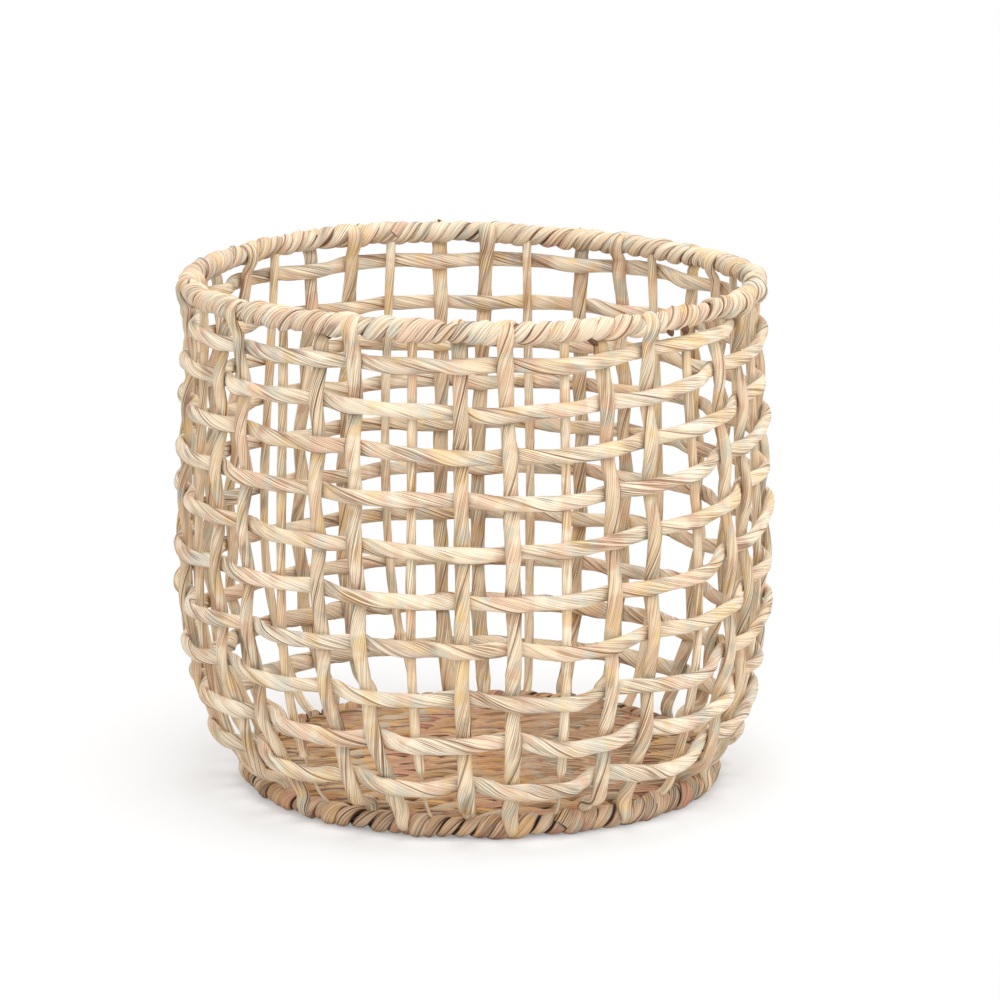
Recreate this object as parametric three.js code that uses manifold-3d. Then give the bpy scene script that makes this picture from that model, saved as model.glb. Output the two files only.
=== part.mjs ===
// Woven planter basket: rush stakes and weavers interlaced round thin uprights, between a bound rim and a
// twisted foot border, with a twined base. Millimetres, +Z up, origin on the floor under the centre.
// Angles start at the front (-Y) and grow towards +X.
import * as THREE from "three";
import { mergeVertices } from "three/addons/utils/BufferGeometryUtils.js";
import Module from "manifold-3d";

const wasm = await Module();
wasm.setup();

// Wall, at the middle of its thickness
const FOOT_RADIUS = 136;
const BELLY_RADIUS = 169.5;
const MOUTH_RADIUS = 163.5;
const BELLY_HEIGHT = 130;
const RIM_HEIGHT = 290.5;
const FLARE_POWER = 2.3;

// Clearance between strands that touch
const CLEARANCE = 0.4;

// Stakes and uprights, one upright and two stakes in each bay
const BAY_COUNT = 12;
const FIRST_UPRIGHT_ANGLE = 18;
const FIRST_STAKE_ANGLE = 9.4;
const SECOND_STAKE_ANGLE = 18.8;
const STAKE_WIDTH = 9;
const STAKE_THICKNESS = 4.6;
const STAKE_LEAN_ANGLE = 4.5;
const LEAN_TURN_ANGLE = 20;
const UPRIGHT_LEAN_SHARE = 0.5;
const UPRIGHT_DIAMETER = 4.8;
const UPRIGHT_STEPS = 6;

// Weavers, counted from the lowest. Together they are one long spiral, which climbs from row to row at the
// right, before the upright of this bay.
const ROW_COUNT = 10;
const STEP_UP_BAY = 2;
const STEP_UP_REACH_ANGLE = 38;
const END_STEP_SHARE = 0.12;
const JOINT_GAP = 1;
const LOWEST_ROW_HEIGHT = 35.6;
const TOP_ROW_DROP = 12.7;
const ROW_UNEVENNESS = 2.7;
const ROWS_IN_WAVE = 7;
const WEAVER_WIDTH = 8;
const WEAVER_THICKNESS = 4.6;

// Rim: a wire hoop, the strand bound round it, and the folded stake ends over both
const RIM_HOOP_DIAMETER = 5;
const BINDING_TURNS = 84;
const BINDING_WIDTH = 10;
const BINDING_THICKNESS = 2.4;
const FOLD_THICKNESS = 2.4;
const FOLD_STEP_ANGLE = 45;
const OUTER_FOLD_ANGLE = -30;
const INNER_FOLD_ANGLE = 210;
const FOLD_STEPS = 3;

// Foot: a wire hoop and the two strands twisted round it, cut flat where they stand
const FOOT_HOOP_INSET = 2;
const FOOT_HOOP_DIAMETER = 4;
const FOOT_TURNS = 24;
const FOOT_STRAND_WIDTH = 9;
const FOOT_STRAND_THICKNESS = 4.4;
const FLAT_CUT = 0.5;
const TUCK_STEP_ANGLE = 40;
const OUTER_TUCK_ANGLE = -30;
const INNER_TUCK_ANGLE = 155;
const TUCK_STEPS = 2;

// Base: three spokes crossed over three, with two strands twined between them
const BASE_HEIGHT = 8.2;
const SPOKE_WIDTH = 7;
const SPOKE_THICKNESS = 3.6;
const SPOKE_SPACING = 7.6;
const CROSS_REACH = 12;
const FAN_RADIUS = 32;
const TWINE_WIDTH = 7;
const TWINE_THICKNESS = 4.4;
const TWINE_START_RADIUS = 37;
const TWINE_PITCH = 15.6;

const HOOP_STEPS = 48;
const STEPS_IN_TURN = 6;
const DEGREE = Math.PI / 180;
const FLAT_SHARE = Math.cos(Math.PI / 6);
const HEXAGON = [[1, 0], [0.5, -1], [-0.5, -1], [-1, 0], [-0.5, 1], [0.5, 1]];
const DIAMOND = [[1, 0], [0, -1], [-1, 0], [0, 1]];
const RIDGE = [[1, -1], [-1, -1], [0, 1]];
const LOBE = [[1, -1], [-1, -1], [-0.5, 1], [0.5, 1]];

const bayAngle = 360 / BAY_COUNT;
const rowSpacing = (RIM_HEIGHT - TOP_ROW_DROP - LOWEST_ROW_HEIGHT) / (ROW_COUNT - 1);
const stepUpAngle = FIRST_UPRIGHT_ANGLE + STEP_UP_BAY * bayAngle - (bayAngle - SECOND_STAKE_ANGLE) / 2;
const closestSpacing = rowLevel(0.5) - rowLevel(-END_STEP_SHARE);
const closestPitch = FOOT_RADIUS * (bayAngle - SECOND_STAKE_ANGLE - STAKE_LEAN_ANGLE / 2) * DEGREE;

// How far a strand stands off the middle of the wall where it passes another, so that the slopes up to the
// crossing clear it too
const crossingDistance = (STAKE_THICKNESS + WEAVER_THICKNESS) / 2 + CLEARANCE;
const slopeShare = WEAVER_WIDTH / 4 / closestSpacing + STAKE_WIDTH / 4 / closestPitch;
const crossingOffset = crossingDistance / 2 / (1 - slopeShare);
const uprightOffset = crossingOffset - (WEAVER_THICKNESS + UPRIGHT_DIAMETER) / 2 - 2 * CLEARANCE;

// The space that a strand fills when it is wound on a hoop in straight steps: it touches the wire at the
// middle of each step, and its outer edges, this share of its width apart, stand off the most
function woundSpace(hoopRadius, wireDiameter, turns, width, thickness, edgeShare) {
  const hoopSag = hoopRadius * (1 - Math.cos(Math.PI / HOOP_STEPS));
  const stepShare = Math.cos(Math.PI / STEPS_IN_TURN);
  const centre = (wireDiameter / 2 + CLEARANCE + hoopSag) / stepShare + thickness / 2;
  const slant = Math.atan(hoopRadius / turns / centre);
  const edge = (Math.sin(slant) * edgeShare * width) / 2;
  const radius = Math.hypot(centre + thickness / 2, edge);
  return { centre, radius, stepRadius: (centre + thickness / 2) * stepShare };
}

// The distance from the wire at which a stake bends round a border in straight steps
function bendRadius(borderRadius, step, thickness) {
  return (borderRadius + CLEARANCE) / Math.cos((step * DEGREE) / 2) + thickness / 2;
}

const binding = woundSpace(
  MOUTH_RADIUS, RIM_HOOP_DIAMETER, BINDING_TURNS, BINDING_WIDTH, BINDING_THICKNESS, 0,
);
const foldRadius = bendRadius(binding.radius, FOLD_STEP_ANGLE, FOLD_THICKNESS);
const footHoopRadius = FOOT_RADIUS - FOOT_HOOP_INSET;
const border = woundSpace(
  footHoopRadius, FOOT_HOOP_DIAMETER, FOOT_TURNS, FOOT_STRAND_WIDTH, FOOT_STRAND_THICKNESS, 0.5,
);
const footHoopHeight = border.stepRadius - FLAT_CUT;
const tuckRadius = bendRadius(border.radius, TUCK_STEP_ANGLE, STAKE_THICKNESS);

function rushMaterial(color) {
  return new THREE.MeshStandardMaterial({ color, roughness: 0.85, metalness: 0 });
}

const stakeRush = rushMaterial(0xd4bda1);
const weaverRush = rushMaterial(0xe6d3b8);
const uprightRush = rushMaterial(0xdcc8a8);
const rimRush = rushMaterial(0xdecbb0);
const footRush = rushMaterial(0xaf8f74);
const baseRush = rushMaterial(0xc1a181);
const wire = new THREE.MeshStandardMaterial({ color: 0x8a8178, roughness: 0.5, metalness: 0.9 });

// Places and directions in the basket's round frame
function spot(angle, radius, height) {
  return new THREE.Vector3(radius * Math.sin(angle * DEGREE), -radius * Math.cos(angle * DEGREE), height);
}

function outward(angle) {
  return spot(angle, 1, 0);
}

function sideways(angle) {
  return spot(angle + 90, 1, 0);
}

function wallRadius(height) {
  if (height < BELLY_HEIGHT) {
    const left = Math.min(1, 1 - height / BELLY_HEIGHT);
    return BELLY_RADIUS - (BELLY_RADIUS - FOOT_RADIUS) * left ** FLARE_POWER;
  }
  const share = Math.min(1, (height - BELLY_HEIGHT) / (RIM_HEIGHT - BELLY_HEIGHT));
  return MOUTH_RADIUS + (BELLY_RADIUS - MOUTH_RADIUS) * (0.5 + 0.5 * Math.cos(Math.PI * share));
}

function wallSlope(height) {
  return (wallRadius(height + 1) - wallRadius(height - 1)) / 2;
}

// A point that stands off the middle of the wall, square to it
function wallSpot(angle, height, offset) {
  const slope = wallSlope(height);
  const reach = offset / Math.hypot(1, slope);
  return spot(angle, wallRadius(height) + reach, height - slope * reach);
}

// A point on a circle round a hoop's wire: 0 degrees faces out, 90 up
function hoopSpot(angle, hoopRadius, hoopHeight, turn, distance) {
  const out = distance * Math.cos(turn * DEGREE);
  return spot(angle, hoopRadius + out, hoopHeight + distance * Math.sin(turn * DEGREE));
}

// Hand-made lean: the foot of a stake stands a little aside from its head, most on one side of the basket
function leaned(angle, height, share) {
  const amount = 0.5 - 0.5 * Math.sin((angle - LEAN_TURN_ANGLE) * DEGREE);
  return angle + share * STAKE_LEAN_ANGLE * amount * (1 - height / RIM_HEIGHT);
}

// The height on the spiral of weavers after this many rows
function rowLevel(rows) {
  const wave = ROW_UNEVENNESS * Math.sin((2 * Math.PI * rows) / ROWS_IN_WAVE);
  return LOWEST_ROW_HEIGHT + rows * rowSpacing - wave;
}

// A row starts half a row low, soon runs level, and ends half a row high, where the next one starts. The
// lowest row starts nearly level and the top one ends so.
function rowHeight(row, angle) {
  const past = (((angle - stepUpAngle) % 360) + 360) % 360;
  const start = row === 0 ? END_STEP_SHARE : 0.5;
  const end = row === ROW_COUNT - 1 ? END_STEP_SHARE : 0.5;
  const low = start * (1 - Math.tanh(past / STEP_UP_REACH_ANGLE));
  const high = end * (1 - Math.tanh((360 - past) / STEP_UP_REACH_ANGLE));
  return rowLevel(row + high - low);
}

// Where an upright or a stake that starts at this angle meets a row
function crossing(angle, row, leanShare) {
  const turned = leaned(angle, rowHeight(row, angle), leanShare);
  return { angle: turned, height: rowHeight(row, turned) };
}

// The first stake of a bay is outside the even rows, the second outside the odd ones
function stakeSide(second, row) {
  return (row % 2 === 0) === second ? -1 : 1;
}

// Rings of section points along a strand. Each station has its place, the direction of its width, its width
// and its thickness.
function strandRings(stations, section, closed) {
  const count = stations.length;
  return stations.map((station, i) => {
    const before = stations[closed ? (i + count - 1) % count : Math.max(0, i - 1)];
    const after = stations[closed ? (i + 1) % count : Math.min(count - 1, i + 1)];
    const along = after.place.clone().sub(before.place).normalize();
    const through = station.across.clone().cross(along).normalize();
    const across = along.clone().cross(through);
    return section.map(([wide, thick]) =>
      station.place
        .clone()
        .addScaledVector(across, (wide * station.width) / 2)
        .addScaledVector(through, (thick * station.thickness) / 2),
    );
  });
}

// A closed surface over rings of a section, with flat ends unless the rings close on themselves. Its inner
// and outer faces are split along opposite diagonals, so that a wound strand keeps its thickness.
function loft(rings, section, closed) {
  const sides = section.length;
  const indices = [];
  const spans = closed ? rings.length : rings.length - 1;
  for (let i = 0; i < spans; i += 1) {
    const here = i * sides;
    const next = ((i + 1) % rings.length) * sides;
    for (let j = 0; j < sides; j += 1) {
      const k = (j + 1) % sides;
      const [a, b, c, d] = [here + j, here + k, next + k, next + j];
      if (section[k][0] < section[j][0]) {
        indices.push(a, b, d, b, c, d);
      } else {
        indices.push(a, b, c, a, c, d);
      }
    }
  }
  if (!closed) {
    const last = (rings.length - 1) * sides;
    for (let j = 1; j < sides - 1; j += 1) {
      indices.push(0, j + 1, j, last, last + j, last + j + 1);
    }
  }
  const geometry = new THREE.BufferGeometry().setFromPoints(rings.flat());
  geometry.setIndex(indices);
  return geometry;
}

function strand(stations, section = HEXAGON, closed = false) {
  return loft(strandRings(stations, section, closed), section, closed);
}

// One round of weaving, whose ends lie between a second stake and an upright and meet the rounds below and
// above it
function weaver(row) {
  const stations = [];
  function pass(angle, height, side) {
    stations.push({
      place: wallSpot(angle, height, side * crossingOffset),
      across: outward(angle).multiplyScalar(wallSlope(height)).setZ(1),
      width: WEAVER_WIDTH,
      thickness: WEAVER_THICKNESS,
    });
  }
  function cross(angle, leanShare, side) {
    const meeting = crossing(angle, row, leanShare);
    pass(meeting.angle, meeting.height, side);
  }
  function end(angle, lastRow) {
    pass(angle, rowHeight(row, angle), (1 - stakeSide(true, lastRow)) / 2);
  }
  const halfGapAngle = JOINT_GAP / 2 / BELLY_RADIUS / DEGREE;
  end(stepUpAngle + halfGapAngle, row - 1);
  for (let bay = STEP_UP_BAY; bay < STEP_UP_BAY + BAY_COUNT; bay += 1) {
    const angle = FIRST_UPRIGHT_ANGLE + bay * bayAngle;
    cross(angle, UPRIGHT_LEAN_SHARE, 1);
    cross(angle + FIRST_STAKE_ANGLE, 1, -stakeSide(false, row));
    cross(angle + SECOND_STAKE_ANGLE, 1, -stakeSide(true, row));
  }
  end(stepUpAngle + 360 - halfGapAngle, row);
  return strand(stations);
}

// Stations of a stake that bends round the wire of a hoop in its own upright plane
function bend(angle, hoopRadius, hoopHeight, distance, startTurn, step, stepCount, thickness) {
  const stations = [];
  for (let i = 0; i <= stepCount; i += 1) {
    stations.push({
      place: hoopSpot(angle, hoopRadius, hoopHeight, startTurn + i * step, distance),
      across: sideways(angle),
      width: STAKE_WIDTH,
      thickness,
    });
  }
  return stations;
}

function wallStation(angle, height, offset) {
  return {
    place: wallSpot(angle, height, offset),
    across: sideways(angle),
    width: STAKE_WIDTH,
    thickness: STAKE_THICKNESS,
  };
}

// A stake from its tuck at the foot, in and out of the rows, to its fold over the rim. The second stake of a
// bay ends outside the foot border and folds over the rim from outside, the first does both from inside.
function stake(angle, second) {
  const footAngle = leaned(angle, footHoopHeight, 1);
  const tuckEnd = second ? OUTER_TUCK_ANGLE : INNER_TUCK_ANGLE;
  const tuckStep = second ? TUCK_STEP_ANGLE : -TUCK_STEP_ANGLE;
  const foldStart = second ? OUTER_FOLD_ANGLE : INNER_FOLD_ANGLE;
  const foldStep = second ? FOLD_STEP_ANGLE : -FOLD_STEP_ANGLE;
  const tuck = bend(
    footAngle, footHoopRadius, footHoopHeight, tuckRadius, tuckEnd, tuckStep, TUCK_STEPS, STAKE_THICKNESS,
  );
  const middle = [];
  if (!second) {
    middle.push(wallStation(footAngle, LOWEST_ROW_HEIGHT - WEAVER_WIDTH, crossingOffset));
  }
  for (let row = 0; row < ROW_COUNT; row += 1) {
    const meeting = crossing(angle, row, 1);
    middle.push(wallStation(meeting.angle, meeting.height, stakeSide(second, row) * crossingOffset));
  }
  const fold = bend(
    angle, MOUTH_RADIUS, RIM_HEIGHT, foldRadius, foldStart, foldStep, FOLD_STEPS, FOLD_THICKNESS,
  );
  return strand([...tuck, ...middle, ...fold]);
}

// A thin round upright on the inside of all the weavers, from the foot border to the rim binding
function upright(angle) {
  const bottom = footHoopHeight + border.radius + CLEARANCE;
  const top = RIM_HEIGHT - binding.radius - CLEARANCE;
  const stations = [];
  for (let step = 0; step <= UPRIGHT_STEPS; step += 1) {
    const height = bottom + ((top - bottom) * step) / UPRIGHT_STEPS;
    const turned = leaned(angle, height, UPRIGHT_LEAN_SHARE);
    stations.push({
      place: wallSpot(turned, height, uprightOffset),
      across: sideways(turned),
      width: UPRIGHT_DIAMETER,
      thickness: UPRIGHT_DIAMETER * FLAT_SHARE,
    });
  }
  return strand(stations);
}

function hoop(radius, height, diameter) {
  const stations = [];
  for (let step = 0; step < HOOP_STEPS; step += 1) {
    const angle = (360 * step) / HOOP_STEPS;
    stations.push({
      place: spot(angle, radius, height),
      across: new THREE.Vector3(0, 0, 1),
      width: diameter,
      thickness: diameter * FLAT_SHARE,
    });
  }
  return strand(stations, HEXAGON, true);
}

// Stations of a strand wound round a hoop, rising towards +X at the front. It starts at the given angle,
// facing the given way round the wire.
function winding(hoopRadius, hoopHeight, distance, turns, startAngle, startTurn, width, thickness) {
  const stations = [];
  for (let step = 0; step < turns * STEPS_IN_TURN; step += 1) {
    const share = step / (turns * STEPS_IN_TURN);
    const angle = startAngle + 360 * share;
    stations.push({
      place: hoopSpot(angle, hoopRadius, hoopHeight, startTurn + 360 * turns * share, distance),
      across: sideways(angle),
      width,
      thickness,
    });
  }
  return stations;
}

// The least distance between neighbouring turns of a wound strand, measured on its section points
function leastSelfGap(rings) {
  let least = Infinity;
  rings.forEach((ring, i) => {
    for (let j = i + STEPS_IN_TURN / 2; j < Math.min(rings.length, i + 2 * STEPS_IN_TURN); j += 1) {
      for (const point of ring) {
        for (const other of rings[j]) {
          least = Math.min(least, point.distanceTo(other));
        }
      }
    }
  });
  return least;
}

function woundStrand(name, stations, section) {
  const rings = strandRings(stations, section, false);
  console.log(`${name}: least gap between its turns ${leastSelfGap(rings).toFixed(2)} mm`);
  return loft(rings, section, false);
}

function solidOf(geometry) {
  const bare = new THREE.BufferGeometry().setAttribute("position", geometry.getAttribute("position"));
  bare.setIndex(geometry.getIndex());
  const merged = mergeVertices(bare);
  const vertProperties = new Float32Array(merged.getAttribute("position").array);
  const triVerts = new Uint32Array(merged.getIndex().array);
  return new wasm.Manifold(new wasm.Mesh({ numProp: 3, vertProperties, triVerts }));
}

// What is left of a shape above the floor
function cutAtFloor(geometry) {
  const reach = 2 * BELLY_RADIUS;
  const ground = new THREE.BoxGeometry(2 * reach, 2 * reach, reach).translate(0, 0, -reach / 2);
  const mesh = solidOf(geometry).subtract(solidOf(ground)).getMesh();
  const cut = new THREE.BufferGeometry();
  cut.setAttribute("position", new THREE.BufferAttribute(mesh.vertProperties, 3));
  cut.setIndex(new THREE.BufferAttribute(mesh.triVerts, 1));
  return cut;
}

// One of the two strands of the foot border. Both turn so that a lobe faces each spoke of the base.
function footStrand(name, index) {
  const startTurn = 180 * (1 + index);
  const stations = winding(
    footHoopRadius, footHoopHeight, border.centre, FOOT_TURNS,
    FIRST_UPRIGHT_ANGLE, startTurn, FOOT_STRAND_WIDTH, FOOT_STRAND_THICKNESS,
  );
  return cutAtFloor(woundStrand(name, stations, LOBE));
}

function rimBinding(name) {
  const stations = winding(
    MOUTH_RADIUS, RIM_HEIGHT, binding.centre, BINDING_TURNS,
    FIRST_UPRIGHT_ANGLE + 180, 180, BINDING_WIDTH, BINDING_THICKNESS,
  );
  return woundStrand(name, stations, RIDGE);
}

// Base spokes: three side by side one way over three the other way, fanned out to twelve arms
const spokeReach = footHoopRadius - border.radius - CLEARANCE;
const crossLift = (SPOKE_THICKNESS + CLEARANCE) / 2;

function baseSpoke(upper, lane) {
  const turn = FIRST_UPRIGHT_ANGLE + (upper ? 90 : 0);
  const lift = upper ? crossLift : -crossLift;
  const middle = [-CROSS_REACH, CROSS_REACH].map((along) =>
    new THREE.Vector3(lane * SPOKE_SPACING, along, BASE_HEIGHT + lift).applyAxisAngle(
      new THREE.Vector3(0, 0, 1),
      turn * DEGREE,
    ),
  );
  const near = turn + lane * bayAngle;
  const far = turn + 180 - lane * bayAngle;
  const places = [
    spot(near, spokeReach, BASE_HEIGHT),
    spot(near, FAN_RADIUS, BASE_HEIGHT),
    ...middle,
    spot(far, FAN_RADIUS, BASE_HEIGHT),
    spot(far, spokeReach, BASE_HEIGHT),
  ];
  return strand(
    places.map((place) => ({
      place,
      across: sideways(turn),
      width: SPOKE_WIDTH,
      thickness: SPOKE_THICKNESS,
    })),
  );
}

// Base twine: two strands that follow one spiral, pass over and under the arms by turns and cross between
// them side by side
const firstHalfArc = (TWINE_START_RADIUS * bayAngle * DEGREE) / 2;
const twineDistance = (SPOKE_THICKNESS + TWINE_THICKNESS) / 2 + CLEARANCE;
const twineOffset = twineDistance / (1 - SPOKE_WIDTH / 4 / firstHalfArc);
const twineSpread = (TWINE_WIDTH + CLEARANCE) / 2;
const tuckReach = footHoopRadius - tuckRadius - STAKE_THICKNESS / 2;
const twineEndRadius = tuckReach - twineSpread - TWINE_WIDTH / 2 - CLEARANCE;

function baseTwine(index) {
  const sign = index === 0 ? 1 : -1;
  const turns = (twineEndRadius - TWINE_START_RADIUS) / TWINE_PITCH;
  const stepCount = Math.floor(turns * 2 * BAY_COUNT);
  const stations = [];
  for (let step = 0; step <= stepCount; step += 1) {
    const angle = FIRST_UPRIGHT_ANGLE + (step * bayAngle) / 2;
    const wave = (step * Math.PI) / 2;
    const radius = TWINE_START_RADIUS + (TWINE_PITCH * step) / (2 * BAY_COUNT);
    stations.push({
      place: spot(
        angle,
        radius + sign * twineSpread * Math.sin(wave),
        BASE_HEIGHT + sign * twineOffset * Math.cos(wave),
      ),
      across: outward(angle),
      width: TWINE_WIDTH,
      thickness: TWINE_THICKNESS,
    });
  }
  return strand(stations, DIAMOND);
}

const basket = new THREE.Group();

function add(name, geometry, material) {
  const mesh = new THREE.Mesh(geometry, material);
  mesh.name = name;
  basket.add(mesh);
}

function numbered(name, index) {
  return `${name}_${String(index + 1).padStart(2, "0")}`;
}

add("rim_hoop", hoop(MOUTH_RADIUS, RIM_HEIGHT, RIM_HOOP_DIAMETER), wire);
add("rim_binding", rimBinding("rim_binding"), rimRush);
for (let row = 0; row < ROW_COUNT; row += 1) {
  add(numbered("weaver", row), weaver(row), weaverRush);
}
for (let bay = 0; bay < BAY_COUNT; bay += 1) {
  const angle = FIRST_UPRIGHT_ANGLE + bay * bayAngle;
  add(numbered("upright", bay), upright(angle), uprightRush);
  add(numbered("first_stake", bay), stake(angle + FIRST_STAKE_ANGLE, false), stakeRush);
  add(numbered("second_stake", bay), stake(angle + SECOND_STAKE_ANGLE, true), stakeRush);
}
add("foot_hoop", hoop(footHoopRadius, footHoopHeight, FOOT_HOOP_DIAMETER), wire);
for (let index = 0; index < 2; index += 1) {
  const name = numbered("foot_strand", index);
  add(name, footStrand(name, index), footRush);
}
for (let lane = -1; lane <= 1; lane += 1) {
  add(numbered("lower_spoke", lane + 1), baseSpoke(false, lane), baseRush);
  add(numbered("upper_spoke", lane + 1), baseSpoke(true, lane), baseRush);
}
for (let index = 0; index < 2; index += 1) {
  add(numbered("base_twine", index), baseTwine(index), baseRush);
}

export default basket;
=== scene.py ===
"""Looks of the woven planter basket: twisted rush strands laid where the solids of the part are."""

import math

import bpy
import numpy as np
from mathutils import Euler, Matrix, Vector


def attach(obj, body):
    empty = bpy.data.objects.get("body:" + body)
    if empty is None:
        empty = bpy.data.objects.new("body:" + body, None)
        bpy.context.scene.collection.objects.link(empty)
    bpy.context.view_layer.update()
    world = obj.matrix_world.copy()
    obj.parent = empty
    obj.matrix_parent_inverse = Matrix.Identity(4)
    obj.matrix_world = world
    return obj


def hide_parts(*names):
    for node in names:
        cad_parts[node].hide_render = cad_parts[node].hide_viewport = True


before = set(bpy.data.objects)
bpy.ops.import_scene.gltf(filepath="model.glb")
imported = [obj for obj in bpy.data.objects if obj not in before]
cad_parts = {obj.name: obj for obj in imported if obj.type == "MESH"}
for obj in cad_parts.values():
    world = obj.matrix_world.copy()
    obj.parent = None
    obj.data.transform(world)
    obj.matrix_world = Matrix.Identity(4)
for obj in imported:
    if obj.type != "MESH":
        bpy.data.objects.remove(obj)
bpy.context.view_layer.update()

# Millimetres and degrees, as in the part
MM = 0.001
FOOT_RADIUS = 136
BELLY_RADIUS = 169.5
MOUTH_RADIUS = 163.5
BELLY_HEIGHT = 130
RIM_HEIGHT = 290.5
FLARE_POWER = 2.3
BAY_COUNT = 12
BAY_ANGLE = 360 / BAY_COUNT
FIRST_UPRIGHT_ANGLE = 18
FIRST_STAKE_ANGLE = 9.4
SECOND_STAKE_ANGLE = 18.8
STAKE_LEAN_ANGLE = 4.5
LEAN_TURN_ANGLE = 20
UPRIGHT_LEAN_SHARE = 0.5
ROW_COUNT = 10
LOWEST_ROW_HEIGHT = 35.6
TOP_ROW_DROP = 12.7
ROW_UNEVENNESS = 2.7
ROWS_IN_WAVE = 7
STEP_UP_BAY = 2
STEP_UP_REACH_ANGLE = 38
END_STEP_SHARE = 0.12
STAKE_OFFSET = 2.0
WEAVER_OFFSET = 3.8
UPRIGHT_OFFSET = -2.0
FOOT_HOOP_RADIUS = 134
FOOT_HOOP_HEIGHT = 6.0
BASE_HEIGHT = 8.2
ROW_SPACING = (RIM_HEIGHT - TOP_ROW_DROP - LOWEST_ROW_HEIGHT) / (ROW_COUNT - 1)
STEP_UP_ANGLE = FIRST_UPRIGHT_ANGLE + STEP_UP_BAY * BAY_ANGLE - (BAY_ANGLE - SECOND_STAKE_ANGLE) / 2

# Visible strands
STAKE_WIDTH = 8.5
STAKE_THICKNESS = 5.8
WEAVER_WIDTH = 8.6
WEAVER_THICKNESS = 5.8
UPRIGHT_WIDTH = 5.5
UPRIGHT_THICKNESS = 4.9
RIM_RADIUS = 6.6
RIM_WIRE_WIDTH = 4.6
BINDING_LOBES = 108
BINDING_WIDTH = 8.6
BINDING_THICKNESS = 6.6
BORDER_RADIUS = 6.6
BORDER_LOBES = 90
BORDER_LIFT = 0.5
FOOT_WIRE_WIDTH = 4.4
FOOT_STRAND_WIDTH = 8.6
FOOT_STRAND_THICKNESS = 6.2
SPOKE_WIDTH = 8.0
SPOKE_THICKNESS = 3.2
TWINE_WIDTH = 9.8
TWINE_THICKNESS = 6.6

# How the basket has settled: its foot stands aside of its rim, and its wall is a little drawn up
FOOT_ASIDE = np.array([5.0, -5.0, 0.0])
FOOT_ASIDE_POWER = 3
WALL_LIFT = 1.7
LIFT_START = 14
LIFT_REACH = 30

rng = np.random.default_rng(11)

# Camera, as the photograph was taken: metres and degrees
SENSOR_WIDTH = 36
LENS = 174.98
FARTHEST_SEEN = 50
CAMERA_PLACE = (0, -2.7658, 0.7998 + WALL_LIFT * MM)
CAMERA_DOWN = 12.986
CAMERA_RIGHT = 0.3203


def set_camera():
    camera = bpy.data.objects.new("camera", bpy.data.cameras.new("camera"))
    bpy.context.scene.collection.objects.link(camera)
    camera.data.sensor_width = SENSOR_WIDTH
    camera.data.lens = LENS
    camera.data.clip_end = FARTHEST_SEEN
    camera.location = CAMERA_PLACE
    camera.rotation_euler = Euler((math.radians(90 - CAMERA_DOWN), 0, math.radians(-CAMERA_RIGHT)))
    bpy.context.scene.camera = camera


class Wire:
    """An output of a node. Arithmetic on it adds nodes to its tree."""

    def __init__(self, net, socket):
        self.net = net
        self.socket = socket

    def is_vector(self):
        return self.socket.type == "VECTOR"

    def join(self, operation, first, second):
        vectors = [isinstance(x, Wire) and x.is_vector() for x in (first, second)]
        if not any(vectors):
            return self.net.math(operation, first, second)
        if all(vectors) or operation != "MULTIPLY":
            return self.net.vector(operation, first, second)
        vector, number = (first, second) if vectors[0] else (second, first)
        return self.net.add("ShaderNodeVectorMath", {"operation": "SCALE"}, {0: vector, 3: number})[0]

    def __add__(self, other):
        return self.join("ADD", self, other)

    def __radd__(self, other):
        return self.join("ADD", other, self)

    def __sub__(self, other):
        return self.join("SUBTRACT", self, other)

    def __rsub__(self, other):
        return self.join("SUBTRACT", other, self)

    def __mul__(self, other):
        return self.join("MULTIPLY", self, other)

    def __rmul__(self, other):
        return self.join("MULTIPLY", other, self)

    def __truediv__(self, other):
        return self.join("DIVIDE", self, other)

    def __rtruediv__(self, other):
        return self.join("DIVIDE", other, self)


class Made:
    """A node that was added, whose outputs are taken by name or number."""

    def __init__(self, net, node):
        self.net = net
        self.node = node

    def __getitem__(self, key):
        return Wire(self.net, self.node.outputs[key])


class Net:
    """A node tree, with one way to add any node."""

    def __init__(self, tree):
        self.tree = tree

    def add(self, kind, settings=None, inputs=None):
        node = self.tree.nodes.new(kind)
        for name, value in (settings or {}).items():
            if name == "captures":
                for item_name, item_kind in value:
                    node.capture_items.new(item_kind, item_name)
            else:
                setattr(node, name, value)
        for key, value in (inputs or {}).items():
            if isinstance(value, Wire):
                self.tree.links.new(value.socket, node.inputs[key])
            else:
                node.inputs[key].default_value = value
        return Made(self, node)

    def math(self, operation, *terms):
        return self.add("ShaderNodeMath", {"operation": operation}, dict(enumerate(terms)))[0]

    def vector(self, operation, *terms):
        return self.add("ShaderNodeVectorMath", {"operation": operation}, dict(enumerate(terms)))[0]

    def smooth(self, value, low, high):
        """0 below low, 1 above high, and smooth between, or the other way round where low is the larger."""
        ends = (low, high, 0.0, 1.0) if low < high else (high, low, 1.0, 0.0)
        return self.add(
            "ShaderNodeMapRange",
            {"interpolation_type": "SMOOTHSTEP"},
            {0: value, 1: ends[0], 2: ends[1], 3: ends[2], 4: ends[3]},
        )[0]

    def noise(self, vector, scale, detail, seed):
        return self.add(
            "ShaderNodeTexNoise",
            {"noise_dimensions": "4D"},
            {"Vector": vector, "W": seed, "Scale": scale, "Detail": detail},
        )[0]

    def mix(self, share, first, second):
        return self.add("ShaderNodeMix", {"data_type": "RGBA"}, {0: share, 6: first, 7: second})[2]


def linear(red, green, blue):
    """A colour given as it looks on a screen, from 0 to 255."""
    def light(value):
        value /= 255
        return value / 12.92 if value <= 0.04045 else ((value + 0.055) / 1.055) ** 2.4

    return (light(red), light(green), light(blue), 1.0)


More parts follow.
